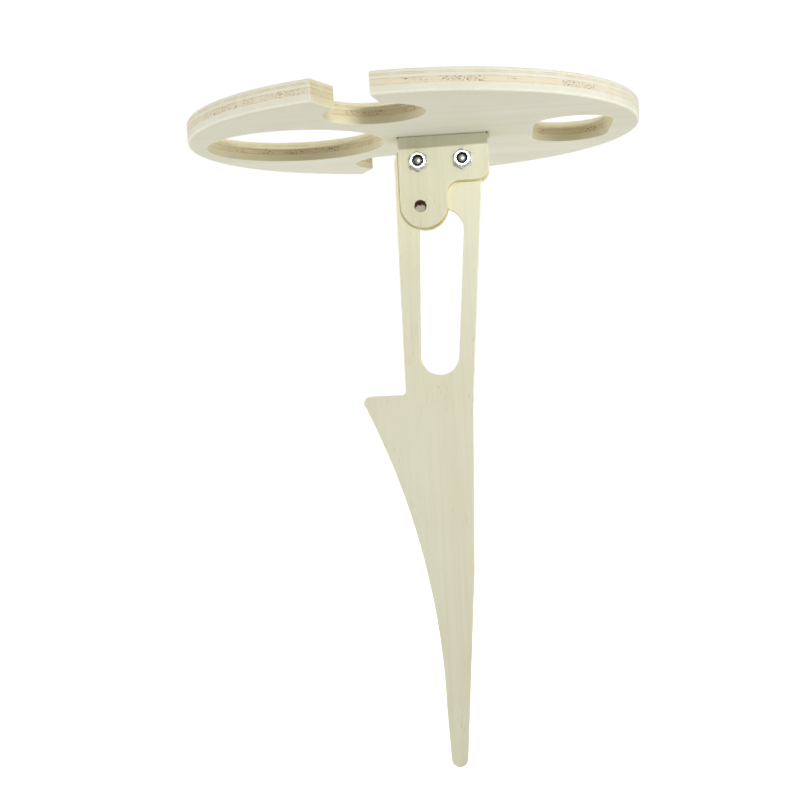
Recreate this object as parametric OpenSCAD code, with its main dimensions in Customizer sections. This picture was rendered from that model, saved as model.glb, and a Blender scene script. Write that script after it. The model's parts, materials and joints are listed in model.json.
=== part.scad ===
// Folding stake table of plywood for the garden. A round top with a bottle hole, two open
// glass slots and a hand hole stands on a flat stake that is pushed into the ground.
// Two cheeks are glued into the top and hold the stake's head between them. The pivot bolt
// lets the top fold down against the stake, and the barb then guards the top's rim.
// The origin is at the ground line, under the centre of the top. +Z is up, -Y is the front.

/* [Top] */
// Diameter of the round top
top_d = 210; // [196:1:250]
// Thickness of the top
top_t = 9.5; // [8:0.5:14]
// Height of the top's underside above the ground
stand_h = 124; // [118:1:150]
// Chamfer around the rim of the top
rim_ease = 0.6; // [0.4:0.1:1]

/* [Bottle hole] */
// Diameter of the bottle hole
bottle_d = 84; // [76:1:88]
// Wood left between the bottle hole and the rim
bottle_rim = 7.5; // [6:0.5:12]

/* [Glass slots] */
// Diameter of each glass hole
glass_d = 44; // [34:1:46]
// Wood left between a glass hole and the rim
glass_rim = 16.5; // [12:0.5:20]
// Direction of each glass hole from the centre, in degrees from the hand hole's side
glass_angle = 100.5; // [96:0.5:104]
// Width of the entry where it meets the glass hole
entry_neck = 20; // [12:1:24]
// Width of the entry at the rim
entry_mouth = 25; // [18:1:30]
// Turn of the entry away from the radial direction, towards the bottle hole
entry_slew = 5; // [0:1:8]

/* [Hand hole] */
// Width of the hand hole, across the top's radius
hand_w = 36; // [28:1:38]
// Overall length of the hand hole
hand_l = 66.5; // [50:0.5:72]
// Wood left between the hand hole and the rim, on the centre line
hand_rim = 12.8; // [11:0.1:18]

/* [Cheeks] */
// Thickness of each cheek
cheek_t = 5; // [4:0.5:6]
// Width of a cheek and of its mortise
cheek_w = 42; // [41:0.5:48]
// Distance of the cheek's left edge from the centre of the top
cheek_left = 7; // [6:0.5:9]
// Height of the cheek's wide part below the underside
cheek_drop = 21.5; // [20:0.5:24]
// Width of the lobe that hangs from the cheek's left side
lobe_w = 22; // [20:0.5:23]
// Depth of the lobe's round end below the underside
lobe_drop = 42.5; // [41:0.5:46]
// Radius of the fillet between the lobe and the wide part
cheek_fillet = 6; // [3:0.5:7]
// Radius of the cheek's lower corner
cheek_corner = 6; // [2:0.5:7]
// Gap between a tenon and its mortise, on each side
tenon_gap = 0.1; // [0.05:0.05:0.2]
// Radius of the relief cut in each mortise corner
relief_r = 0.9; // [0.6:0.1:1.2]

/* [Bolts] */
// Diameter of both bolts
bolt_d = 5; // [4:0.5:6]
// How far each bolt's end stays inside the face of its nut
bolt_sink = 0.6; // [0.2:0.1:1.2]
// Distance of the pivot bolt from the centre of the top
pivot_x = 2.3; // [1:0.1:4]
// Distance of the bolts below the underside
pivot_drop = 12; // [11:0.5:13]
// Distance from the pivot to the stop bolt, and from the pivot to the lock hole
bolt_pitch = 20.5; // [19:0.5:22]
// Gap around the bolts in the cheeks' holes
hole_gap = 0.2; // [0.1:0.05:0.3]
// Running gap around the pivot bolt in the stake
pivot_gap = 0.06; // [0.02:0.01:0.1]
// Gap around the stop bolt in the stake's curved slot
slot_gap = 0.35; // [0.3:0.05:0.6]
// How far a bolt head stands out from the shank all round
head_rim = 2.25; // [2:0.05:3]
// Height of a bolt head's dome
head_h = 2.8; // [2.6:0.1:3.6]
// Width of the bolt head's socket across its flats
socket_af = 3; // [2.5:0.5:3.5]
// Depth of the bolt head's socket
socket_h = 1.7; // [1.2:0.1:2.2]
// Steel between the bolt and each flat of a nut
nut_wall = 1.5; // [1.3:0.1:2]
// Height of a nut with its collar
nut_h = 5; // [4.5:0.1:5.5]
// Height of the nut's hexagonal part
nut_hex_h = 3.6; // [3:0.1:4]

/* [Stake] */
// Thickness of the stake
stake_t = 5; // [4:0.5:6]
// Length of the stake from the underside of the top to the tip
stake_l = 298; // [270:1:340]
// Width of the stake's head at the underside
head_w = 42.4; // [40:0.2:44]
// Width of the stake at the barb's shoulder
waist_w = 32; // [29:0.5:34]
// How far the barb stands out from the stake's edge
barb_reach = 20; // [14:0.5:24]
// Radius of the barb's corner
barb_r = 3; // [2:0.5:4]
// Radius of the tip
tip_r = 4; // [3:0.5:5]
// Distance of the tip from the centre line of the top
tip_x = 7.6; // [5:0.1:10]
// Distance of the blade's knee to the right of the tip
knee_out = 11.4; // [10:0.2:13]
// Height of the blade's knee above the centre of the tip
knee_up = 89; // [70:1:110]
// Distance of the curved edge's lower end to the left of the tip
sweep_out = 5; // [4.5:0.1:6]
// Height of the curved edge's lower end above the centre of the tip
sweep_up = 24; // [18:1:30]
// Gap between the stake and each cheek
side_gap = 0.3; // [0.2:0.05:0.5]
// Gap between the stake and the underside, both open and folded
fold_gap = 0.3; // [0.2:0.05:0.5]
// Gap between the folded top's rim and the barb's shoulder
rim_gap = 1; // [1:0.1:3]

/* [Grip slot] */
// Depth of the grip slot's upper centre below the underside
grip_top = 43.7; // [43:0.1:50]
// Radius of the grip slot's upper end
grip_top_r = 10.5; // [8:0.5:10.5]
// Depth of the grip slot's lower centre below the underside
grip_low = 102.4; // [80:0.1:104]
// Radius of the grip slot's lower end
grip_low_r = 9.2; // [7:0.1:9.4]
// Width of the wood between the grip slot and the stake's sloping edge
grip_web = 7.4; // [6:0.1:9]

/* [Hidden] */
$fn = 96;
CUT = 1;

// Layers at the hinge, from the middle of the stake outwards
stack_y = stake_t / 2 + side_gap;
cheek_face_y = stack_y + cheek_t;

// Bolt heads, bolts and nuts
head_d = bolt_d + 2 * head_rim;
nut_af = bolt_d + 2 * nut_wall;
bolt_l = 2 * cheek_face_y + nut_h - bolt_sink;

// Heights and places above the ground line
top_r = top_d / 2;
top_z = stand_h + top_t;
pivot = [pivot_x, stand_h - pivot_drop];
stop = pivot + [bolt_pitch, 0];
lock = pivot - [0, bolt_pitch];
bottle_x = -(top_r - bottle_rim - bottle_d / 2);
glass_out = top_r - glass_rim - glass_d / 2;
hand_x = top_r - hand_rim - hand_w / 2;

// Stake outline
stake_left = pivot_x - pivot_drop + fold_gap;
head_top = stand_h - fold_gap;
head_right = stake_left + head_w;
shoulder_z = pivot[1] - (top_r + pivot_x) - rim_gap;
shoulder_right = stake_left + waist_w;
shoulder_fillet = 2;
edge_slope = (head_right - shoulder_right) / (head_top - shoulder_z);
tip = [tip_x, stand_h - stake_l + tip_r];
blade_knee = tip + [knee_out, knee_up];
sweep_end = tip + [-sweep_out, sweep_up];
barb = [stake_left - barb_reach + barb_r, shoulder_z - barb_r];
sweep_dx = sweep_end[0] - barb[0];
sweep_dz = barb[1] - sweep_end[1];
sweep_r = (sweep_dx * sweep_dx + sweep_dz * sweep_dz - barb_r * barb_r) / (2 * (sweep_dx + barb_r));
sweep = sweep_end - [sweep_r, 0];

// Nut's round collar, and its lip over the nylon ring
thread_gap = 0.03;
lip_gap = 0.1;
lip_t = 0.4;
collar_inset = 0.2;
collar_ease = 0.3;
collar_wall = 0.6;
collar_r = nut_af / 2 - collar_inset;
seat_r = collar_r - collar_wall;
seat_h = nut_h - nut_hex_h - lip_t;

// Grip slot, set off from the sloping edge by its web
grip_upper = [right_edge(stand_h - grip_top) - grip_web - grip_top_r, stand_h - grip_top];
grip_lower = [right_edge(stand_h - grip_low) - grip_web - grip_low_r, stand_h - grip_low];

// Place of the sloping edge at height z
function right_edge(z) = shoulder_right + edge_slope * (z - shoulder_z);

// Point at distance r and angle t from c
function polar(c, r, t) = c + r * [cos(t), sin(t)];

// Direction from a to b
function heading(a, b) = atan2(b[1] - a[1], b[0] - a[0]);

// Angle between the line through two circles' centres and the radius to a line that touches both
function touch(a, ra, b, rb) = acos((ra - rb) / norm(b - a));

// Round stretch of an outline
function arc(c, r, start, end, steps = 24) =
  [for (i = [0:steps]) polar(c, r, start + (end - start) * i / steps)];

// Flat plate of thickness t, drawn in X and Z, with its front face at y
module plate(y, t) {
  translate([0, y + t, 0])
    rotate([90, 0, 0])
      linear_extrude(t)
        children();
}

// Shape turned about the bolt at place p, drawn along +Z from the front cheek's face forwards
module forwards(p) {
  translate([p[0], -cheek_face_y, p[1]])
    rotate([90, 0, 0])
      children();
}

// Slot with round ends of two radii, with straight sides that touch both
module round_slot(a, ra, b, rb) {
  along = heading(a, b);
  spread = touch(a, ra, b, rb);
  polygon(concat(arc(b, rb, along - spread, along + spread),
                 arc(a, ra, along + spread, along + 360 - spread)));
}

// Widening entry from a glass hole's centre out past the rim
module entry() {
  neck_at = sqrt(pow(glass_d / 2, 2) - pow(entry_neck / 2, 2));
  mouth_at = top_r - glass_out;
  flare = (entry_mouth - entry_neck) / 2 / (mouth_at - neck_at);
  inner = entry_neck / 2 - flare * neck_at;
  outer_at = mouth_at + glass_d / 2;
  outer = inner + flare * outer_at;
  polygon([[0, -inner], [outer_at, -outer], [outer_at, outer], [0, inner]]);
}

// Glass hole with its entry; side is -1 for the front and 1 for the back
module glass_slot(side) {
  translate(polar([0, 0], glass_out, side * glass_angle)) {
    circle(glass_d / 2);
    rotate(side * (glass_angle + entry_slew))
      entry();
  }
}

// Mortise for a cheek, with a round relief in each corner
module mortise(side) {
  low_y = side > 0 ? stack_y - tenon_gap : -cheek_face_y - tenon_gap;
  high_y = low_y + cheek_t + 2 * tenon_gap;
  left = -cheek_left - tenon_gap;
  right = left + cheek_w + 2 * tenon_gap;
  translate([left, low_y])
    square([right - left, high_y - low_y]);
  for (x = [left, right], y = [low_y, high_y])
    translate([x, y])
      circle(relief_r, $fn = 32);
}

module top_cutouts() {
  translate([bottle_x, 0])
    circle(bottle_d / 2);
  translate([hand_x, 0])
    round_slot([0, (hand_w - hand_l) / 2], hand_w / 2, [0, (hand_l - hand_w) / 2], hand_w / 2);
  for (side = [-1, 1]) {
    glass_slot(side);
    mortise(side);
  }
}

module table_top() {
  color("blanchedalmond")
    difference() {
      translate([0, 0, stand_h])
        rotate_extrude($fn = 180)
          polygon([[0, 0], [top_r - rim_ease, 0], [top_r, rim_ease], [top_r, top_t - rim_ease],
                   [top_r - rim_ease, top_t], [0, top_t]]);
      translate([0, 0, stand_h - CUT])
        linear_extrude(top_t + 2 * CUT)
          top_cutouts();
    }
}

// Cheek seen from the front, from the lobe up to the flush tenon
module cheek_outline() {
  right = cheek_w - cheek_left;
  lobe_right = lobe_w - cheek_left;
  lobe = [lobe_right - lobe_w / 2, stand_h - lobe_drop + lobe_w / 2];
  edge = stand_h - cheek_drop;
  difference() {
    union() {
      polygon([[-cheek_left, top_z], [-cheek_left, lobe[1]], [lobe_right, lobe[1]],
               [lobe_right, edge - cheek_fillet], [lobe_right + cheek_fillet, edge - cheek_fillet],
               [lobe_right + cheek_fillet, edge], [right - cheek_corner, edge],
               [right, edge + cheek_corner], [right, top_z]]);
      translate(lobe)
        circle(lobe_w / 2);
      translate([right - cheek_corner, edge + cheek_corner])
        circle(cheek_corner);
    }
    translate([lobe_right + cheek_fillet, edge - cheek_fillet])
      circle(cheek_fillet);
    for (p = [pivot, stop, lock])
      translate(p)
        circle(bolt_d / 2 + hole_gap);
  }
}

module front_cheek() {
  color("wheat")
    plate(-cheek_face_y, cheek_t)
      cheek_outline();
}

module rear_cheek() {
  color("wheat")
    plate(stack_y, cheek_t)
      cheek_outline();
}

// Curved slot that the stop bolt leaves through when the top folds
module stop_slot() {
  reach = bolt_d / 2 + slot_gap;
  translate(stop)
    circle(reach);
  translate(pivot)
    intersection() {
      difference() {
        circle(bolt_pitch + reach);
        circle(bolt_pitch - reach);
      }
      square(2 * bolt_pitch);
    }
}

// Stake seen from the front, before its holes are cut, from the head's round corner down its left edge
module stake_outline() {
  fillet = [stake_left - shoulder_fillet, shoulder_z + shoulder_fillet];
  tip_start = heading(sweep_end, tip) - touch(sweep_end, 0, tip, tip_r) + 360;
  tip_end = heading(blade_knee, tip) + touch(blade_knee, 0, tip, tip_r) + 360;
  polygon(concat(arc(pivot, pivot_drop - fold_gap, 90, 180),
                 arc(fillet, shoulder_fillet, 0, -90, 8),
                 arc(barb, barb_r, 90, heading(barb, sweep) + 360),
                 arc(sweep, sweep_r, heading(sweep, barb), 0, 40),
                 arc(tip, tip_r, tip_start, tip_end),
                 [blade_knee, [shoulder_right, shoulder_z], [head_right, head_top]]));
}

module stake() {
  color("antiquewhite")
    plate(-stake_t / 2, stake_t)
      difference() {
        stake_outline();
        translate(pivot)
          circle(bolt_d / 2 + pivot_gap);
        stop_slot();
        round_slot(grip_upper, grip_top_r, grip_lower, grip_low_r);
      }
}

// Dome-headed bolt with a hexagonal socket, from the rear; its end stays just inside the nut's collar
module bolt(p) {
  end_ease = 0.5;
  brim = 0.6;
  dome_steps = 8;
  dome = [for (i = [0:dome_steps]) [head_d / 2 * sin(90 * i / dome_steps),
                                    -brim - (head_h - brim) * cos(90 * i / dome_steps)]];
  color("silver")
    translate([p[0], cheek_face_y, p[1]])
      rotate([90, 0, 0])
        difference() {
          rotate_extrude()
            polygon(concat(dome, [[head_d / 2, 0], [bolt_d / 2, 0], [bolt_d / 2, bolt_l - end_ease],
                                  [bolt_d / 2 - end_ease, bolt_l], [0, bolt_l]]));
          translate([0, 0, -head_h - CUT])
            cylinder(d = socket_af / cos(30), h = socket_h + CUT, $fn = 6);
        }
}

// Hexagonal locking nut with a round collar that holds a nylon ring
module nut(p) {
  corner_r = nut_af / 2 / cos(30);
  corner_cut = corner_r - nut_af / 2;
  color("gainsboro")
    forwards(p)
      difference() {
        union() {
          intersection() {
            rotate(30)
              cylinder(r = corner_r, h = nut_hex_h, $fn = 6);
            rotate_extrude()
              polygon([[0, 0], [nut_af / 2, 0], [corner_r, corner_cut / 2],
                       [corner_r, nut_hex_h - corner_cut / 2], [nut_af / 2, nut_hex_h], [0, nut_hex_h]]);
          }
          rotate_extrude()
            polygon([[0, nut_hex_h - CUT], [collar_r, nut_hex_h - CUT], [collar_r, nut_h - collar_ease],
                     [collar_r - collar_ease, nut_h], [0, nut_h]]);
        }
        translate([0, 0, -CUT])
          cylinder(r = bolt_d / 2 + thread_gap, h = nut_h + 2 * CUT);
        translate([0, 0, nut_hex_h])
          cylinder(r = seat_r, h = seat_h);
        translate([0, 0, nut_hex_h])
          cylinder(r = bolt_d / 2 + lip_gap, h = nut_h);
      }
}

// Nylon ring inside the nut's collar
module nut_insert(p) {
  color("dimgray")
    forwards(p)
      translate([0, 0, nut_hex_h])
        difference() {
          cylinder(r = seat_r, h = seat_h);
          translate([0, 0, -CUT])
            cylinder(r = bolt_d / 2 + thread_gap, h = nut_h);
        }
}

module pivot_bolt() {
  bolt(pivot);
}

module pivot_nut() {
  nut(pivot);
}

module pivot_nut_insert() {
  nut_insert(pivot);
}

module stop_bolt() {
  bolt(stop);
}

module stop_nut() {
  nut(stop);
}

module stop_nut_insert() {
  nut_insert(stop);
}

table_top();
front_cheek();
rear_cheek();
stake();
pivot_bolt();
pivot_nut();
pivot_nut_insert();
stop_bolt();
stop_nut();
stop_nut_insert();
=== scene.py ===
"""Looks of a folding stake table: eased plywood plates, threaded bolts and locking nuts.

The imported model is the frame. Lengths are in metres. +Z is up and -Y is the side of the nuts.
"""
import json
from math import asin, atan2, cos, pi, radians, sin

import bmesh
import bpy
from bpy.props import FloatProperty, FloatVectorProperty, IntProperty, PointerProperty
from bpy.types import Operator, Panel, PropertyGroup
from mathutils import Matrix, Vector


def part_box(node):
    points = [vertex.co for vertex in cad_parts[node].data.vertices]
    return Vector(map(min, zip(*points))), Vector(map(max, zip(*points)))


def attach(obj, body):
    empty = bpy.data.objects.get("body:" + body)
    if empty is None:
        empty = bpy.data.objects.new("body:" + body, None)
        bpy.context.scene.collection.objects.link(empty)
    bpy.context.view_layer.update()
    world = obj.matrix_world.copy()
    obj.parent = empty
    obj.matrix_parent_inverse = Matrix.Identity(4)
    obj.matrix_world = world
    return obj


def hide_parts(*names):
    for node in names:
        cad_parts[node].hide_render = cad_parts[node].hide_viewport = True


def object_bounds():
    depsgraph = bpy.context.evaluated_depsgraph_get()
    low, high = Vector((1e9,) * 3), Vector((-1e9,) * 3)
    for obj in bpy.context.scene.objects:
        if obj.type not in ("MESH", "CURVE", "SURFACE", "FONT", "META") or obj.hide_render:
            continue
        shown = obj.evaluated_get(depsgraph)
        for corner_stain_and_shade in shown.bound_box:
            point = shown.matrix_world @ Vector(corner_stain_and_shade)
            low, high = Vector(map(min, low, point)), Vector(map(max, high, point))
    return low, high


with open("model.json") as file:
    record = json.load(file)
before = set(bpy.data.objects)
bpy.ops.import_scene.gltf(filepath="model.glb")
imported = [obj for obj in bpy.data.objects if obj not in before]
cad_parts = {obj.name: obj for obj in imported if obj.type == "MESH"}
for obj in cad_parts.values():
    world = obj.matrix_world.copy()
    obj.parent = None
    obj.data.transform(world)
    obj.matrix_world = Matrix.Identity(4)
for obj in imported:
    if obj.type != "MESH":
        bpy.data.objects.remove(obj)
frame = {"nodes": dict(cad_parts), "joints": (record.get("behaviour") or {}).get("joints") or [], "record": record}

bl_info = {
    "name": "Folding stake table",
    "version": (1, 0, 0),
    "blender": (4, 5, 0),
    "location": "View3D > Sidebar > Stake table",
    "description": "Builds the visible pieces of a folding plywood stake table",
    "category": "Object",
}

CAD_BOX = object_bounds()
X, Y, Z = 0, 1, 2
BOLTS = ("pivot", "stop")
SIDES = ("front", "rear")
# Distance within which two corners are one
MERGE = 1e-6
# Turn under which two triangles make one flat face
SLIVER = radians(0.5)
# Turns over which an edge is sharp, on a plate and on the nuts and rings
PLATE_EDGE = radians(40)
HARDWARE_EDGE = radians(20)
# Turn under which two walls belong to the same curve
CURVE = radians(25)
# A face is a cut wall when less than this part of its normal points through the plate
WALL = 0.9
# Steps round a turned bolt, over its domed head and over its crowned tip
TURNED_STEPS = 48
DOME_STEPS = 10
TIP_STEPS = 4
# Gap all round a bolt in the cheeks' holes
BOLT_GAP = 0.0002


# --- Settings ---------------------------------------------------------------------------------

class PlywoodSettings(PropertyGroup):
    """Colours and edges of the plywood"""
    arris: FloatProperty(
        name="Arris", description="Radius sanded onto the edges of the plates",
        default=0.00035, min=0.0001, max=0.0006, subtype="DISTANCE", unit="LENGTH")
    top_colour: FloatVectorProperty(
        name="Top veneer", description="Colour of the round top's face veneer",
        default=(0.815, 0.830, 0.735), min=0, max=1, subtype="COLOR")
    cheek_colour: FloatVectorProperty(
        name="Cheek veneer", description="Colour of the cheeks' face veneer",
        default=(0.775, 0.780, 0.620), min=0, max=1, subtype="COLOR")
    stake_colour: FloatVectorProperty(
        name="Stake veneer", description="Colour of the stake's face veneer",
        default=(0.850, 0.864, 0.712), min=0, max=1, subtype="COLOR")
    cross_colour: FloatVectorProperty(
        name="Cross ply", description="Colour of the plies whose grain runs across the faces'",
        default=(0.760, 0.670, 0.475), min=0, max=1, subtype="COLOR")
    # Warm tint on cut walls: partly a burnish from the cutter, partly painted shade inside holes and on the
    # cheeks' walls
    burnish_and_shade_colour: FloatVectorProperty(
        name="Burnished and shaded wall", description="Tint of the walls inside holes and of the cheeks' walls, partly rubbed warm by the cutter and partly painted shade",
        default=(1.000, 0.900, 0.580), min=0, max=1, subtype="COLOR")
    glue_colour: FloatVectorProperty(
        name="Glue line", description="Colour of the glue between the plies",
        default=(0.560, 0.430, 0.265), min=0, max=1, subtype="COLOR")
    pit_colour: FloatVectorProperty(
        name="Pits", description="Colour in the torn pits of the end grain",
        default=(0.290, 0.190, 0.085), min=0, max=1, subtype="COLOR")
    # Also used for the painted shade, with glue stain, along the cheeks' joint under the top and in its corners
    scorch_and_shade_colour: FloatVectorProperty(
        name="Scorch and shade", description="Brown where the cutter has scorched and torn the wood, and glue stain with painted shade along the cheeks' joint",
        default=(0.160, 0.075, 0.025), min=0, max=1, subtype="COLOR")


class HardwareSettings(PropertyGroup):
    """Sizes and colours of the bolts, nuts and nylon rings"""
    bolt_size: FloatProperty(
        name="Bolt size", description="Outer diameter of the bolts' thread",
        default=0.005, min=0.004, max=0.006, subtype="DISTANCE", unit="LENGTH")
    pitch: FloatProperty(
        name="Pitch", description="Distance from one thread crest to the next",
        default=0.0008, min=0.0005, max=0.001, subtype="DISTANCE", unit="LENGTH")
    threads: IntProperty(
        name="Threads", description="Number of thread crests on each bolt",
        default=15, min=4, max=20)
    socket: FloatProperty(
        name="Socket", description="Width across the flats of the bolt heads' sockets",
        default=0.003, min=0.002, max=0.004, subtype="DISTANCE", unit="LENGTH")
    socket_depth: FloatProperty(
        name="Socket depth", description="Depth of the bolt heads' sockets",
        default=0.0017, min=0.001, max=0.002, subtype="DISTANCE", unit="LENGTH")
    ease: FloatProperty(
        name="Edge", description="Radius on the edges of the nuts and rings",
        default=0.00012, min=0.00005, max=0.0002, subtype="DISTANCE", unit="LENGTH")
    zinc_colour: FloatVectorProperty(
        name="Zinc", description="Colour of the zinc plate",
        default=(0.780, 0.790, 0.800), min=0, max=1, subtype="COLOR")
    # Darker copy of the zinc: painted shade for the bolt ends sunk in the nuts
    bolt_shaded_colour: FloatVectorProperty(
        name="Bolt", description="Colour of the bolts' plating, darkened as painted shade",
        default=(0.400, 0.410, 0.360), min=0, max=1, subtype="COLOR")
    nylon_colour: FloatVectorProperty(
        name="Nylon", description="Colour of the nylon rings in the nuts",
        default=(0.045, 0.050, 0.060), min=0, max=1, subtype="COLOR")


class StudioSettings(PropertyGroup):
    """Lights, floor and camera"""
    key: FloatProperty(
        name="Key light", description="Power of the slim lamp in front",
        default=1.66, min=0, max=10)
    key_place: FloatVectorProperty(
        name="Key place", description="Where the slim lamp stands",
        default=(0.100, -0.620, 0.156), subtype="TRANSLATION", unit="LENGTH")
    key_width: FloatProperty(
        name="Key width", description="Width of the slim lamp",
        default=0.070, min=0.01, max=0.5, subtype="DISTANCE", unit="LENGTH")
    key_height: FloatProperty(
        name="Key height", description="Height of the slim lamp",
        default=0.006, min=0.001, max=0.5, subtype="DISTANCE", unit="LENGTH")
    overhead: FloatProperty(
        name="Overhead", description="Power of the large soft box above",
        default=11.5, min=0, max=100)
    rear: FloatProperty(
        name="Rear", description="Power of the large soft box behind",
        default=12.0, min=0, max=100)
    side: FloatProperty(
        name="Sides", description="Power of each soft box at the sides",
        default=8.5, min=0, max=100)
    fill: FloatProperty(
        name="Fill", description="Strength of the soft light from all sides",
        default=0.17, min=0, max=2)
    fill_colour: FloatVectorProperty(
        name="Fill colour", description="Colour of the soft light from all sides",
        default=(1.000, 0.820, 0.560), min=0, max=1, subtype="COLOR")
    floor_glow: FloatProperty(
        name="Floor glow", description="Light given off by the floor behind the stake, as by a light table",
        default=0.46, min=0, max=1)
    whiteness: FloatProperty(
        name="Whiteness", description="Extra light that only the camera sees on the floor",
        default=1.0, min=0, max=1)
    lens: FloatProperty(
        name="Lens", description="Focal length of the camera, in millimetres",
        default=58.5, min=20, max=200)
    camera_place: FloatVectorProperty(
        name="Camera place", description="Where the camera stands",
        default=(0.03542, -0.6145, 0.0163), subtype="TRANSLATION", unit="LENGTH")
    camera_turn: FloatVectorProperty(
        name="Camera turn", description="How the camera is turned",
        default=(radians(88.625), radians(2.92), radians(4.385)), subtype="EULER", unit="ROTATION")


# --- Node trees -------------------------------------------------------------------------------

class Sketch:
    """Adds nodes to a tree, sets their sockets and wires them up."""

    def __init__(self, tree):
        self.tree = tree

    def add(self, kind, sockets=None, **settings):
        """New node, whose sockets take other nodes' outputs or plain values."""
        made = self.tree.nodes.new(kind)
        for name, value in settings.items():
            setattr(made, name, value)
        for name, value in (sockets or {}).items():
            if isinstance(value, bpy.types.NodeSocket):
                self.tree.links.new(value, made.inputs[name])
            else:
                made.inputs[name].default_value = value
        return made

    def maths(self, operation, first, second=0.0):
        return self.add("ShaderNodeMath", {0: first, 1: second}, operation=operation).outputs[0]

    def times(self, first, second):
        return self.maths("MULTIPLY", first, second)

    def weighted(self, base, *parts):
        """A base plus values, each times its weight."""
        total = base
        for value, weight in parts:
            total = self.maths("ADD", total, self.times(value, weight))
        return total

    def away(self, value, middle):
        """How far a value is from a middle one."""
        return self.maths("ABSOLUTE", self.maths("SUBTRACT", value, middle))

    def ramp(self, value, low, high, out_low=0.0, out_high=1.0):
        """Smooth step of a value, from out_low at low to out_high at high."""
        sockets = {"Value": value, "From Min": low, "From Max": high, "To Min": out_low, "To Max": out_high}
        return self.add("ShaderNodeMapRange", sockets, interpolation_type="SMOOTHSTEP").outputs[0]

    def fade(self, distance, near, far, strength=1.0):
        """Falls from a strength at a near distance to nothing at a far one."""
        return self.ramp(distance, near, far, strength, 0.0)

    def stretch(self, vector, scale, turn=(0, 0, 0)):
        sockets = {"Vector": vector, "Scale": scale, "Rotation": turn}
        return self.add("ShaderNodeMapping", sockets).outputs[0]

    def parts(self, vector):
        """The X, Y and Z of a vector."""
        return self.add("ShaderNodeSeparateXYZ", {"Vector": vector}).outputs

    def noise(self, vector, scale=1.0, detail=2.0, roughness=0.5, distortion=0.0):
        return self.add("ShaderNodeTexNoise", {"Vector": vector, "Scale": scale, "Detail": detail,
                                               "Roughness": roughness, "Distortion": distortion}).outputs[0]

    def attribute(self, name):
        return self.add("ShaderNodeAttribute", attribute_name=name).outputs["Fac"]

    def group(self, tree, sockets):
        """Outputs of a shared node group wired to the given sockets."""
        return self.add("ShaderNodeGroup", sockets, node_tree=tree).outputs

    def tint(self, factor, first, second, blend="MIX"):
        """Mix of two colours by a factor."""
        mix = self.add("ShaderNodeMix", data_type="RGBA", blend_type=blend)
        colours = [socket for socket in mix.inputs if socket.type == "RGBA"]
        for socket, value in zip([mix.inputs[0], *colours], [factor, first, second]):
            if isinstance(value, bpy.types.NodeSocket):
                self.tree.links.new(value, socket)
            elif isinstance(value, (int, float)):
                socket.default_value = value
            else:
                socket.default_value = (*value, 1.0)
        return next(socket for socket in mix.outputs if socket.type == "RGBA")

    def wash(self, under, over, mask, strength=1.0):
        """Lays one colour over another where a mask is, at a strength."""
        return self.tint(self.times(mask, strength), under, over)

    def clamp(self, value):
        return self.add("ShaderNodeClamp", {"Value": value}).outputs[0]

    def bump(self, height, strength, distance):
        sockets = {"Height": height, "Strength": strength, "Distance": distance}
        return self.add("ShaderNodeBump", sockets).outputs[0]

    def principled(self, sockets):
        """Ends a material's tree with its shader."""
        shader = self.add("ShaderNodeBsdfPrincipled", sockets)
        self.add("ShaderNodeOutputMaterial", {"Surface": shader.outputs[0]})


def scaled(colour, *factors):
    """A colour times one factor, or times one for each channel."""
    return [channel * factor for channel, factor in zip(colour, factors * 3)]


def effect_group(name, inputs, outputs, build):
    """Node group with named sockets, made on its first use.

    Build gets a sketch and the inputs, and returns the outputs. An input of None is a vector.
    """
    if name in bpy.data.node_groups:
        return bpy.data.node_groups[name]
    tree = bpy.data.node_groups.new(name, "ShaderNodeTree")
    for label, value in inputs.items():
        kind = "NodeSocketVector" if value is None else "NodeSocketFloat"
        socket = tree.interface.new_socket(label, in_out="INPUT", socket_type=kind)
        if value is not None:
            socket.default_value = value
    for label in outputs:
        tree.interface.new_socket(label, in_out="OUTPUT", socket_type="NodeSocketFloat")
    sketch = Sketch(tree)
    given = sketch.add("NodeGroupInput").outputs
    sketch.add("NodeGroupOutput", dict(zip(outputs, build(sketch, given))))
    return tree


def veneer_grain():
    """Long-grain wood with the grain along Z: tone, dark flecks and relief."""
    def build(s, given):
        place = given["Vector"]
        streaks = s.noise(s.stretch(place, (620, 620, 9)), detail=5, roughness=0.62)
        bands = s.noise(s.stretch(place, (55, 55, 3.2)), detail=3, roughness=0.5, distortion=0.6)
        clouds = s.noise(place, scale=22, detail=2)
        lengthwise = s.weighted(0.0, (streaks, 0.45), (bands, 0.55))
        tone = s.weighted(0.0, (lengthwise, 0.75), (clouds, 0.25))
        dashes = s.noise(s.stretch(place, (1500, 1500, 260)), detail=1.5, roughness=0.4)
        sparse = s.noise(s.stretch(place, (140, 140, 60)), detail=1)
        flecks = s.times(s.ramp(dashes, 0.62, 0.74), s.ramp(sparse, 0.50, 0.66))
        pores = s.noise(s.stretch(place, (3600, 3600, 150)), detail=2)
        relief = s.weighted(0.0, (streaks, 0.6), (pores, 0.4))
        return tone, flecks, relief
    return effect_group("Veneer grain", {"Vector": None}, ["Tone", "Flecks", "Relief"], build)


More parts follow.
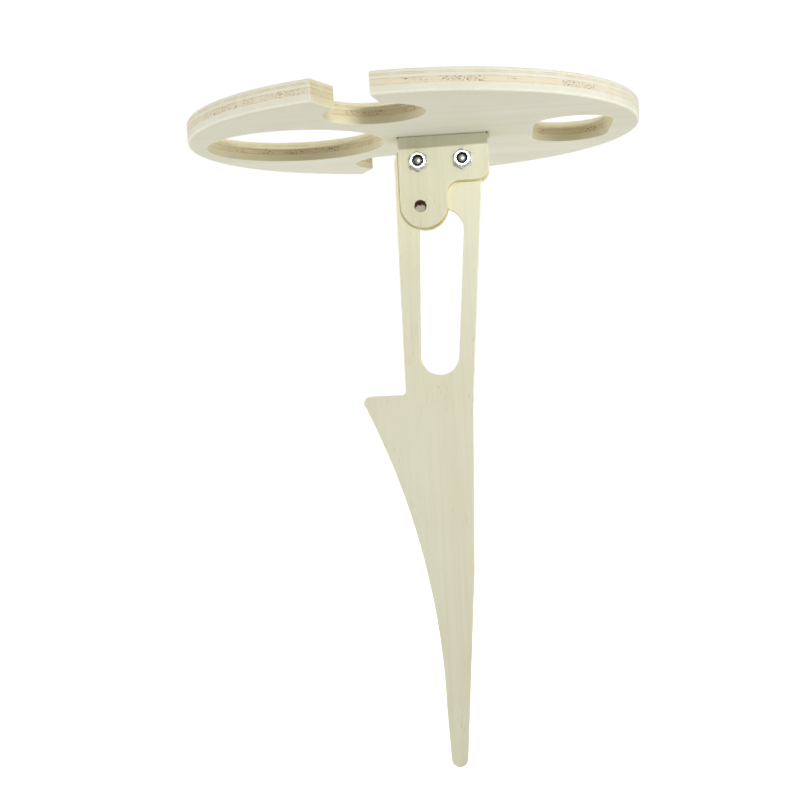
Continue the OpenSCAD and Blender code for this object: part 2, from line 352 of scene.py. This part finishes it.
def ply_layers():
    """Plies seen on a cut edge. Across runs from 0 to 1 through the plate's thickness.

    The core is the thick cross ply. The thin one is off the plate until its places are given.
    """
    blur = 0.012
    glue_half, glue_edge = 0.006, 0.022

    def build(s, given):
        place = given["Vector"]
        wander = s.maths("SUBTRACT", s.noise(place, scale=90, detail=2), 0.5)
        across = s.weighted(given["Across"], (wander, 0.045))

        def past(seam):
            return s.ramp(s.maths("SUBTRACT", across, given[seam]), -blur, blur)

        core = s.maths("SUBTRACT", past("Core low"), past("Core high"))
        thin = s.maths("SUBTRACT", past("Thin low"), past("Thin high"))
        glue = 0.0
        for seam in ("Core low", "Core high", "Thin low", "Thin high"):
            glue = s.maths("MAXIMUM", glue, s.fade(s.away(across, given[seam]), glue_half, glue_edge))
        starved = s.noise(place, scale=160, detail=1)
        glue = s.times(glue, s.ramp(starved, 0.35, 0.6, 0.25, 1.0))

        end = given["End grain"]
        cells = s.noise(s.stretch(place, (1300, 1300, 2100)), detail=3, roughness=0.65)
        torn = s.noise(place, scale=75, detail=2)
        open_cells = s.times(s.ramp(cells, 0.52, 0.64), s.ramp(torn, 0.40, 0.56))
        pits = s.times(open_cells, s.times(core, s.ramp(end, 0.2, 0.8)))
        cross = s.times(s.maths("MAXIMUM", core, s.times(thin, 0.85)), s.ramp(end, 0.0, 1.0, 0.35, 1.0))
        mottle = s.noise(s.stretch(place, (95, 95, 900)), detail=3, roughness=0.6)
        cross = s.times(cross, s.ramp(mottle, 0.30, 0.62, 0.45, 1.0))
        fuzz = s.times(s.noise(s.stretch(place, (2400, 2400, 2400)), detail=2), cross)
        return cross, glue, pits, fuzz

    inputs = {"Vector": None, "Across": 0.5, "End grain": 1.0, "Core low": 0.3, "Core high": 0.7,
              "Thin low": 2.0, "Thin high": 2.1}
    return effect_group("Ply layers", inputs, ["Cross ply", "Glue line", "Pits", "Fuzz"], build)


def arris_wear_and_highlight():
    """Lighter along an eased edge, partly from sanding wear and partly a painted highlight, broken up along it."""
    def build(s, given):
        patches = s.noise(given["Vector"], scale=420, detail=3, roughness=0.7)
        return [s.times(given["Arris"], s.ramp(patches, 0.36, 0.58, 0.35, 1.0))]
    return effect_group("Arris wear and highlight", {"Vector": None, "Arris": 0.0}, ["Worn"], build)


def handling_marks():
    """Faint dull patches and fine scratches from use."""
    def build(s, given):
        place = given["Vector"]
        patches = s.ramp(s.noise(place, scale=38, detail=3, roughness=0.55), 0.5, 0.72)
        steep = s.noise(s.stretch(place, (2600, 180, 340), (0.4, 0.7, 0.3)), detail=2)
        flat = s.noise(s.stretch(place, (240, 2900, 170), (0.2, 0.3, 1.1)), detail=2)
        scratches = s.maths("MAXIMUM", s.ramp(steep, 0.70, 0.76), s.ramp(flat, 0.71, 0.77))
        return patches, scratches
    return effect_group("Handling marks", {"Vector": None}, ["Patches", "Scratches"], build)


# --- Materials --------------------------------------------------------------------------------

def new_material(name):
    """Material with an empty sketch, and the object's own coordinates."""
    material = bpy.data.materials.new(name)
    material.use_nodes = True
    material.node_tree.nodes.clear()
    sketch = Sketch(material.node_tree)
    return material, sketch, sketch.add("ShaderNodeTexCoord").outputs["Object"]


def plywood(name, colour, node, across_axis, grain_turn, plies, figure, burnish_and_shade_strength, stain_and_shade=None):
    """Sanded plywood: veneer faces, and plies on every cut edge.

    Figure is the contrast of the grain, and burnish_and_shade_strength the strength of the warm tint on marked
    walls, which is partly a cutter's burnish and partly painted shade. Stain_and_shade, where given, takes the
    sketch, the coordinates and the colour so far, and returns the colour with its scorch and its painted shade.
    """
    look = bpy.context.scene.stake_table_plywood
    material, s, place = new_material(name)
    low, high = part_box(node)
    across = s.add("ShaderNodeMapRange", {"Value": s.parts(place)[across_axis],
                                          "From Min": low[across_axis],
                                          "From Max": high[across_axis]}).outputs[0]
    grain = s.group(veneer_grain(), {"Vector": s.stretch(place, (1, 1, 1), grain_turn)})
    layers = s.group(ply_layers(), {"Vector": place, "Across": across,
                                    "End grain": s.attribute("end_grain"), **plies})
    wear_and_highlight = s.group(arris_wear_and_highlight(), {"Vector": place, "Arris": s.attribute("arris")})
    marks = s.group(handling_marks(), {"Vector": place})

    dark_grain = scaled(colour, 0.900, 0.870, 0.800)
    pale_grain = scaled(colour, 1.045, 1.050, 1.060)
    tone = s.ramp(grain["Tone"], 0.33, 0.67, 0.5 - figure / 2, 0.5 + figure / 2)
    wood = s.tint(tone, dark_grain, pale_grain)
    wood = s.wash(wood, scaled(colour, 0.45), grain["Flecks"], 0.5 * figure)
    cut = s.wash(wood, look.cross_colour, layers["Cross ply"])
    cut = s.wash(cut, scaled(colour, 1.2), layers["Fuzz"], 0.35)
    cut = s.wash(cut, look.glue_colour, layers["Glue line"], 0.55)
    cut = s.wash(cut, look.pit_colour, layers["Pits"])
    # Warm tint on marked walls: partly a burnish from the cutter, partly painted shade
    rubbed_and_shaded = s.tint(1.0, cut, look.burnish_and_shade_colour, "MULTIPLY")
    cut = s.wash(cut, rubbed_and_shaded, s.attribute("burnish_and_shade"), burnish_and_shade_strength)
    # Eased edges lighter: partly sanding wear, partly a painted highlight
    worn_and_highlit = s.wash(cut, scaled(colour, 1.12), wear_and_highlight["Worn"], 0.5)
    dull = s.wash(worn_and_highlit, scaled(colour, 0.72), marks["Patches"], 0.10)

    rough = s.weighted(0.68, (grain["Relief"], 0.16), (layers["Cross ply"], 0.12),
                       (marks["Patches"], -0.08))
    height = s.weighted(0.0, (grain["Relief"], 0.25), (layers["Fuzz"], 0.5), (layers["Pits"], -1.2),
                        (layers["Glue line"], -0.3))
    s.principled({
        "Base Color": stain_and_shade(s, place, dull) if stain_and_shade else dull,
        "Roughness": s.clamp(rough),
        "Normal": s.bump(height, strength=0.55, distance=0.00018),
        "Specular IOR Level": 0.22,
    })
    return material


def scorch_and_joint_shade(s, place, colour):
    """Brown in the torn lock hole; along the cheeks' glued joint and in the joint's corners, a glue stain with
    painted shade of the gap and of the corner reliefs.
    """
    raggedness = 0.0008
    brown_r = bolt_hole_radius() - 0.0003
    brown_edge = 0.0002
    low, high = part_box("front_cheek")
    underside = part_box("table_top")[0].z
    lock = lock_hole()
    parts = s.parts(place)
    flat = s.add("ShaderNodeCombineXYZ", {"X": parts[X], "Z": parts[Z]}).outputs[0]

    def away_from(x, z):
        ends = {0: flat, 1: (x, 0, z)}
        return s.add("ShaderNodeVectorMath", ends, operation="DISTANCE").outputs["Value"]

    ragged = s.noise(place, scale=1500, detail=2)
    from_lock = s.weighted(away_from(lock.x, lock.z), (ragged, -raggedness))
    torn = s.fade(from_lock, near=brown_r, far=brown_r + brown_edge)
    # Glue stain and painted shade of the gap along the joint under the top, darker still as painted shade in the
    # corner reliefs
    joint_stain_and_shade = s.fade(s.away(parts[Z], underside), near=0.0001, far=0.0006, strength=0.55)
    for x in (low.x, high.x):
        corner_stain_and_shade = s.fade(away_from(x, underside), near=0.0004, far=0.0012, strength=0.9)
        joint_stain_and_shade = s.maths("MAXIMUM", joint_stain_and_shade, corner_stain_and_shade)
    look = bpy.context.scene.stake_table_plywood
    return s.tint(s.maths("MAXIMUM", torn, joint_stain_and_shade), colour, look.scorch_and_shade_colour)


def zinc_plate(name, colour, shine):
    """Zinc plate with fine crystals, scratches and dull patches; shine is its lowest roughness."""
    material, s, place = new_material(name)
    marks = s.group(handling_marks(), {"Vector": place})
    crystals = s.noise(place, scale=1900, detail=3, roughness=0.6)
    cast = s.tint(s.ramp(crystals, 0.35, 0.65), colour, scaled(colour, 0.93, 0.97, 1.03))
    height = s.weighted(0.0, (crystals, 0.5), (marks["Scratches"], -0.6))
    s.principled({
        "Base Color": s.wash(cast, scaled(colour, 1.18), marks["Scratches"], 0.4),
        "Roughness": s.clamp(s.weighted(shine, (crystals, 0.14), (marks["Patches"], 0.10))),
        "Normal": s.bump(height, strength=0.25, distance=0.00002),
        "Metallic": 1.0,
    })
    return material


def dark_nylon():
    """Moulded nylon, a little waxy, with a faint mottle."""
    colour = bpy.context.scene.stake_table_hardware.nylon_colour
    material, s, place = new_material("nylon")
    mottle = s.noise(place, scale=2600, detail=2)
    s.principled({
        "Base Color": s.tint(s.ramp(mottle, 0.4, 0.6), colour, scaled(colour, 1.5)),
        "Roughness": s.ramp(mottle, 0.3, 0.7, 0.38, 0.52),
        "Normal": s.bump(mottle, strength=0.3, distance=0.00002),
    })
    return material


def pale_floor():
    """Matt white board, lit from within behind the stake and wherever the camera sees it."""
    look = bpy.context.scene.stake_table_studio
    glow_starts, glow_full = -0.10, 0.35
    worn_board, clean_board = (0.80, 0.80, 0.79), (0.84, 0.84, 0.83)
    material, s, place = new_material("pale_floor")
    speckle = s.noise(place, scale=60, detail=3)
    seen = s.add("ShaderNodeLightPath").outputs["Is Camera Ray"]
    behind = s.ramp(s.parts(place)[Y], glow_starts, glow_full, 0.0, look.floor_glow)
    s.principled({
        "Base Color": s.tint(speckle, worn_board, clean_board),
        "Roughness": 0.9,
        "Specular IOR Level": 0.1,
        "Emission Color": (1.0, 1.0, 0.99, 1.0),
        "Emission Strength": s.weighted(behind, (seen, look.whiteness)),
    })
    return material


# --- Shapes -----------------------------------------------------------------------------------

def bolt_axis(node):
    """The middle of a bolt, which is on its axis."""
    low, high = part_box(node)
    return (low + high) / 2


def bolt_hole_radius():
    return bpy.context.scene.stake_table_hardware.bolt_size / 2 + BOLT_GAP


def lock_hole():
    """The middle of the lock hole, as far below the pivot as the stop bolt is beside it."""
    pivot, stop = (bolt_axis(use + "_bolt") for use in BOLTS)
    return pivot - Vector((0, 0, stop.x - pivot.x))


def merged_copy(node):
    """The CAD node's mesh as a bmesh, with its triangles joined into flat faces."""
    bm = bmesh.new()
    bm.from_mesh(frame["nodes"][node].data)
    bmesh.ops.remove_doubles(bm, verts=bm.verts, dist=MERGE)
    bmesh.ops.dissolve_limit(bm, angle_limit=SLIVER, verts=bm.verts, edges=bm.edges)
    return bm


def ease_edges(bm, radius, sharper_than, keep=None):
    """Rounds the edges that are sharper than an angle, and marks the new faces as arrises."""
    edges = []
    for edge in bm.edges:
        if not edge.is_manifold or edge.calc_face_angle() < sharper_than:
            continue
        if keep and keep(edge):
            continue
        edges.append(edge)
    arris = bm.faces.layers.float.new("arris")
    made = bmesh.ops.bevel(bm, geom=edges, offset=radius, offset_type="OFFSET", segments=3, profile=0.5,
                           affect="EDGES", clamp_overlap=False, material=-1)
    for face in made["faces"]:
        face[arris] = 1.0


def is_wall(face, across):
    """Whether a face is a cut edge of a plate that is thin along an axis."""
    return abs(face.normal[across]) < WALL


def mark_burnish_and_shade(bm, across, inside):
    """Marks the cut walls that lie inside a hole, for a warm tint that is partly a burnish and partly painted
    shade.
    """
    layer = bm.faces.layers.float.new("burnish_and_shade")
    for face in bm.faces:
        if is_wall(face, across) and inside(face.calc_center_median()):
            face[layer] = 1.0


def mark_end_grain(bm, across, grain):
    """Stores how squarely each cut edge faces the cross plies' grain, smoothed round curves."""
    layer = bm.loops.layers.float.new("end_grain")
    cross = X + Y + Z - across - grain
    bm.normal_update()
    for vert in bm.verts:
        walls = [face for face in vert.link_faces if is_wall(face, across)]
        for face in walls:
            near = [other.normal for other in walls if other.normal.angle(face.normal, 0) < CURVE]
            turn = sum(near, Vector()).normalized()
            for loop in face.loops:
                if loop.vert == vert:
                    loop[layer] = abs(turn[cross])


def tear_hole(bm, middle, reach, front):
    """Narrows the back of a hole along Y with torn fibres, longest at its top."""
    clean_depth = 0.001
    longest = 0.0019
    spread = 0.2
    tufts = 9
    tuft_mean, tuft_swing = 0.65, 0.35
    for vert in bm.verts:
        away = (vert.co - middle).xz
        if vert.co.y - front < clean_depth or away.length > reach:
            continue
        turn = atan2(away.y, away.x)
        hang = max(0.0, sin(turn) + spread)
        uneven = tuft_mean + tuft_swing * sin(tufts * turn + 1)
        away *= 1 - longest * hang * uneven / away.length
        vert.co.x = middle.x + away.x
        vert.co.z = middle.z + away.y


def place_piece(bm, name, body, material, node):
    """Makes the bmesh a shown piece that rides on a body and stands for a CAD node."""
    mesh = bpy.data.meshes.new(name)
    bm.to_mesh(mesh)
    bm.free()
    mesh.shade_smooth()
    mesh.materials.append(material)
    piece = bpy.data.objects.new(name, mesh)
    bpy.context.scene.collection.objects.link(piece)
    weighted = piece.modifiers.new("Flat faces", "WEIGHTED_NORMAL")
    weighted.mode = "FACE_AREA"
    weighted.weight = 100
    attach(piece, body)
    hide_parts(node)


def plate(node, name, body, material, across, grain, inside, keep=None, tear=None):
    """A plywood plate that is thin along one axis, with its face grain along another.

    Inside tells which walls take the warm tint, partly a burnish and partly painted shade. Keep, where given,
    tells which edges stay sharp, and tear damages the bmesh.
    """
    bm = merged_copy(node)
    ease_edges(bm, bpy.context.scene.stake_table_plywood.arris, PLATE_EDGE, keep)
    if tear:
        tear(bm)
    mark_end_grain(bm, across, grain)
    mark_burnish_and_shade(bm, across, inside)
    place_piece(bm, name, body, material, node)


def arc(start, stop, steps):
    """Evenly spaced angles from start to stop."""
    return [start + (stop - start) * i / steps for i in range(steps + 1)]


def head_profile(head_r, top, base):
    """A dome head as points (radius, y), from the socket's rim out and round to its bearing face."""
    rim_r = 0.0020
    brim = 0.0006
    chamfer = 0.0002
    dome = top - base - brim
    angles = arc(asin(rim_r / head_r), pi / 2, DOME_STEPS)
    points = [(head_r * sin(angle), base + brim + dome * cos(angle)) for angle in angles]
    return points + [(head_r, base + chamfer), (head_r - chamfer, base)]


def thread_profile(look, end):
    """Crests and roots of a thread as points (radius, y), down towards the shank's end."""
    lead = 0.0012
    metric_depth = 0.6134
    crest_r = look.bolt_size / 2
    root_r = crest_r - metric_depth * look.pitch
    crest_half = look.pitch / 16
    root_half = look.pitch / 8
    points = []
    for i in range(look.threads, 0, -1):
        crest = end + lead + i * look.pitch
        root = crest - look.pitch / 2
        points += [(crest_r, crest + crest_half), (crest_r, crest - crest_half)]
        points += [(root_r, root + root_half), (root_r, root - root_half)]
    return points


def tip_profile(shank, end):
    """A chamfered and crowned tip as points (radius, y), ending on the axis."""
    chamfer = 0.0005
    crown = 0.0007
    crowned = [((shank - chamfer) * sin(angle), end + crown * (1 - cos(angle)))
               for angle in arc(pi / 2, 0, TIP_STEPS)]
    return [(shank, end + crown + chamfer), *crowned]


def cut_socket(bm, look, head_top):
    """Turns the open rim in the head into a hexagonal socket with a drilled floor."""
    lip = 0.00028
    chamfer = 0.00012
    drill_r = 0.4 * look.socket
    drill_point = 0.0003

    def inward(edges, radius_at, y):
        """Carries a ring of edges inwards, to a radius for each turn and a height."""
        made = bmesh.ops.extrude_edge_only(bm, edges=edges)["geom"]
        for vert in (part for part in made if isinstance(part, bmesh.types.BMVert)):
            turn = atan2(vert.co.z, vert.co.x)
            radius = radius_at(turn)
            vert.co = (radius * cos(turn), y, radius * sin(turn))
        return [part for part in made if isinstance(part, bmesh.types.BMEdge) and part.is_boundary]

    def hexagon(turn):
        return look.socket / 2 / cos(turn % (pi / 3) - pi / 6)

    floor = head_top - look.socket_depth
    rim = [edge for edge in bm.edges if edge.is_boundary]
    rim = inward(rim, lambda turn: hexagon(turn) + chamfer, head_top - lip)
    rim = inward(rim, hexagon, head_top - lip - chamfer)
    rim = inward(rim, hexagon, floor)
    rim = inward(rim, lambda turn: drill_r, floor)
    inward(rim, lambda turn: 0.0, floor - drill_point)


def bolt(node, name, material):
    """A dome-headed bolt with a hexagonal socket and a cut thread, turned from its section."""
    look = bpy.context.scene.stake_table_hardware
    low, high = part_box(node)
    centre = bolt_axis(node)
    cheek_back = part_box("rear_cheek")[1].y
    shank = look.bolt_size / 2
    section = head_profile((high.x - low.x) / 2, high.y, cheek_back)
    section += [(shank, cheek_back), *thread_profile(look, low.y), *tip_profile(shank, low.y)]
    bm = bmesh.new()
    verts = [bm.verts.new((radius, y, 0)) for radius, y in section]
    edges = [bm.edges.new(pair) for pair in zip(verts, verts[1:])]
    bmesh.ops.spin(bm, geom=verts + edges, cent=(0, 0, 0), axis=(0, 1, 0), dvec=(0, 0, 0), angle=2 * pi,
                   steps=TURNED_STEPS, use_merge=True, use_duplicate=False)
    bmesh.ops.remove_doubles(bm, verts=bm.verts, dist=MERGE)
    cut_socket(bm, look, high.y)
    bmesh.ops.remove_doubles(bm, verts=bm.verts, dist=MERGE)
    bmesh.ops.recalc_face_normals(bm, faces=bm.faces)
    bmesh.ops.translate(bm, verts=bm.verts, vec=(centre.x, 0, centre.z))
    place_piece(bm, name, "top_body", material, node)


def hardware_copy(node, name, material):
    """A nut or a ring with softened edges."""
    bm = merged_copy(node)
    ease_edges(bm, bpy.context.scene.stake_table_hardware.ease, HARDWARE_EDGE)
    place_piece(bm, name, "top_body", material, node)


# --- Stage ------------------------------------------------------------------------------------

def make_floor():
    """A wide pale floor just under the stake's tip."""
    reach = 6.0
    gap = 0.0005
    bm = bmesh.new()
    bmesh.ops.create_grid(bm, x_segments=2, y_segments=2, size=reach)
    bmesh.ops.translate(bm, verts=bm.verts, vec=(0, 0, CAD_BOX[0].z - gap))
    mesh = bpy.data.meshes.new("floor")
    bm.to_mesh(mesh)
    bm.free()
    mesh.materials.append(pale_floor())
    floor = bpy.data.objects.new("floor", mesh)
    bpy.context.scene.collection.objects.link(floor)


def add_light(name, place, target, energy, **settings):
    """An area light that points at a target."""
    data = bpy.data.lights.new(name, "AREA")
    data.energy = energy
    for key, value in settings.items():
        setattr(data, key, value)
    lamp = bpy.data.objects.new(name, data)
    lamp.location = place
    lamp.rotation_euler = (Vector(target) - Vector(place)).to_track_quat("-Z", "Y").to_euler()
    bpy.context.scene.collection.objects.link(lamp)


def make_lights(look):
    """A slim front lamp, and soft boxes above, behind and at both sides."""
    hinge = frame["joints"][0]["pos_m"]
    add_light("key", look.key_place, hinge, look.key, shape="RECTANGLE", size=look.key_width,
              size_y=look.key_height)
    origin = (0, 0, 0)
    side_height = 0.1
    # Name, place, target, power and width of each box
    soft_boxes = [
        ("overhead", (0.2, 0.1, 1.9), origin, look.overhead, 1.6),
        ("rear_fill", (-0.6, 1.8, 0.9), origin, look.rear, 1.4),
        ("side", (-1.3, 0, side_height), (0, 0, side_height), look.side, 0.7),
        ("side", (1.3, 0, side_height), (0, 0, side_height), look.side, 0.7),
    ]
    for name, place, target, energy, width in soft_boxes:
        add_light(name, place, target, energy, shape="SQUARE", size=width)


def make_surround(look):
    """A dim warm surround that the camera sees as white."""
    seen_white = 1.02
    world = bpy.data.worlds.new("surround")
    world.use_nodes = True
    world.node_tree.nodes.clear()
    s = Sketch(world.node_tree)
    seen = s.add("ShaderNodeLightPath").outputs["Is Camera Ray"]
    strength = s.weighted(look.fill, (seen, seen_white - look.fill))
    colour = s.tint(seen, look.fill_colour, (1.0, 1.0, 1.0))
    surround = s.add("ShaderNodeBackground", {"Color": colour, "Strength": strength})
    s.add("ShaderNodeOutputWorld", {"Surface": surround.outputs[0]})
    bpy.context.scene.world = world


def make_camera(look):
    """The camera, a little below the top and in front of it."""
    data = bpy.data.cameras.new("camera")
    data.lens = look.lens
    data.clip_start = 0.01
    camera = bpy.data.objects.new("camera", data)
    camera.location = look.camera_place
    camera.rotation_euler = look.camera_turn
    bpy.context.scene.collection.objects.link(camera)
    bpy.context.scene.camera = camera
    bpy.context.scene.view_settings.view_transform = "Standard"


# --- Operators --------------------------------------------------------------------------------

class STAKETABLE_OT_round_top(Operator):
    """Build the round plywood top with its holes and entries"""
    bl_idname = "stake_table.round_top"
    bl_label = "Round top"

    def execute(self, context):
        look = context.scene.stake_table_plywood
        plies = {"Core low": 0.38, "Core high": 0.62, "Thin low": 0.77, "Thin high": 0.84}
        material = plywood("top_plywood", look.top_colour, "table_top", Z, (0, radians(90), 0), plies,
                           figure=0.5, burnish_and_shade_strength=0.5)
        low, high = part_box("front_cheek")
        margin = 0.002
        rim_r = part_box("table_top")[1].y - margin

        def at_mortise(edge):
            middle = (edge.verts[0].co + edge.verts[1].co) / 2
            along = low.x - margin < middle.x < high.x + margin
            return along and abs(low.y) + margin > abs(middle.y) > abs(high.y) - margin

        def in_hole(middle):
            return middle.xy.length < rim_r

        plate("table_top", "round_top", "top_body", material, Z, X, in_hole, at_mortise)
        return {"FINISHED"}


class STAKETABLE_OT_cheeks(Operator):
    """Build the two cheeks that hang from the top"""
    bl_idname = "stake_table.cheeks"
    bl_label = "Cheeks"

    def execute(self, context):
        look = context.scene.stake_table_plywood
        plies = {"Core low": 0.30, "Core high": 0.70}
        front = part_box("front_cheek")[0].y
        slack = 0.0002

        # Every cut wall of a cheek takes the warm tint: mostly painted shade, with some burnish from the cutter
        def everywhere(middle):
            return True

        def tear(bm):
            tear_hole(bm, lock_hole(), bolt_hole_radius() + slack, front)

        for side in SIDES:
            node = side + "_cheek"
            material = plywood(node + "_plywood", look.cheek_colour, node, Y, (0, 0, 0), plies,
                               figure=0.7, burnish_and_shade_strength=1.0, stain_and_shade=scorch_and_joint_shade)
            plate(node, node + "_board", "top_body", material, Y, Z, everywhere,
                  tear=tear if side == "front" else None)
        return {"FINISHED"}


class STAKETABLE_OT_stake(Operator):
    """Build the long stake with its grip slot, barb and blade"""
    bl_idname = "stake_table.stake"
    bl_label = "Stake"

    def execute(self, context):
        look = context.scene.stake_table_plywood
        plies = {"Core low": 0.28, "Core high": 0.72}
        material = plywood("stake_plywood", look.stake_colour, "stake", Y, (0, 0, 0), plies,
                           figure=0.6, burnish_and_shade_strength=0.6)
        openings = frame["record"]["physics"]["openings"]
        low, high = next(opening["box_m"] for opening in openings if opening["name"] == "grip_slot")
        margin = 0.0075

        def in_grip_slot(middle):
            return all(low[i] - margin < middle[i] < high[i] + margin for i in (X, Z))

        plate("stake", "stake_board", "stake_body", material, Y, Z, in_grip_slot)
        return {"FINISHED"}


class STAKETABLE_OT_bolts(Operator):
    """Turn the pivot bolt and the stop bolt"""
    bl_idname = "stake_table.bolts"
    bl_label = "Bolts"

    def execute(self, context):
        look = context.scene.stake_table_hardware
        # Bolts take a darker copy of the zinc, as painted shade for their ends sunk in the nuts
        material = zinc_plate("bolt_steel_painted_shade", look.bolt_shaded_colour, shine=0.26)
        for use in BOLTS:
            bolt(use + "_bolt", use + "_bolt_turned", material)
        return {"FINISHED"}


class STAKETABLE_OT_nuts(Operator):
    """Build the two locking nuts"""
    bl_idname = "stake_table.nuts"
    bl_label = "Nuts"

    def execute(self, context):
        look = context.scene.stake_table_hardware
        material = zinc_plate("nut_steel", look.zinc_colour, shine=0.20)
        for use in BOLTS:
            hardware_copy(use + "_nut", use + "_locking_nut", material)
        return {"FINISHED"}


class STAKETABLE_OT_nylon_rings(Operator):
    """Build the nylon rings inside the nuts' collars"""
    bl_idname = "stake_table.nylon_rings"
    bl_label = "Nylon rings"

    def execute(self, context):
        material = dark_nylon()
        for use in BOLTS:
            hardware_copy(use + "_nut_insert", use + "_nylon_ring", material)
        return {"FINISHED"}


class STAKETABLE_OT_stage(Operator):
    """Set up the floor, the lights and the camera"""
    bl_idname = "stake_table.stage"
    bl_label = "Stage"

    def execute(self, context):
        look = context.scene.stake_table_studio
        make_floor()
        make_lights(look)
        make_surround(look)
        make_camera(look)
        return {"FINISHED"}


# --- Registration -----------------------------------------------------------------------------

SETTINGS = {
    "stake_table_plywood": PlywoodSettings,
    "stake_table_hardware": HardwareSettings,
    "stake_table_studio": StudioSettings,
}
STEPS = (
    STAKETABLE_OT_round_top,
    STAKETABLE_OT_cheeks,
    STAKETABLE_OT_stake,
    STAKETABLE_OT_bolts,
    STAKETABLE_OT_nuts,
    STAKETABLE_OT_nylon_rings,
    STAKETABLE_OT_stage,
)


class VIEW3D_PT_stake_table(Panel):
    """Lists the pieces of the stake table and their settings"""
    bl_label = "Stake table"
    bl_idname = "VIEW3D_PT_stake_table"
    bl_space_type = "VIEW_3D"
    bl_region_type = "UI"
    bl_category = "Stake table"

    def draw(self, context):
        column = self.layout.column(align=True)
        for step in STEPS:
            column.operator(step.bl_idname)
        for name, kind in SETTINGS.items():
            column = self.layout.column(align=True)
            for setting in kind.__annotations__:
                column.prop(getattr(context.scene, name), setting)


CLASSES = (*SETTINGS.values(), *STEPS, VIEW3D_PT_stake_table)


def register():
    for item in CLASSES:
        bpy.utils.register_class(item)
    for name, kind in SETTINGS.items():
        setattr(bpy.types.Scene, name, PointerProperty(type=kind))


def unregister():
    for name in SETTINGS:
        delattr(bpy.types.Scene, name)
    for item in reversed(CLASSES):
        bpy.utils.unregister_class(item)


def main():
    register()
    bpy.ops.stake_table.round_top()
    bpy.ops.stake_table.cheeks()
    bpy.ops.stake_table.stake()
    bpy.ops.stake_table.bolts()
    bpy.ops.stake_table.nuts()
    bpy.ops.stake_table.nylon_rings()
    bpy.ops.stake_table.stage()


if __name__ == "__main__":
    main()
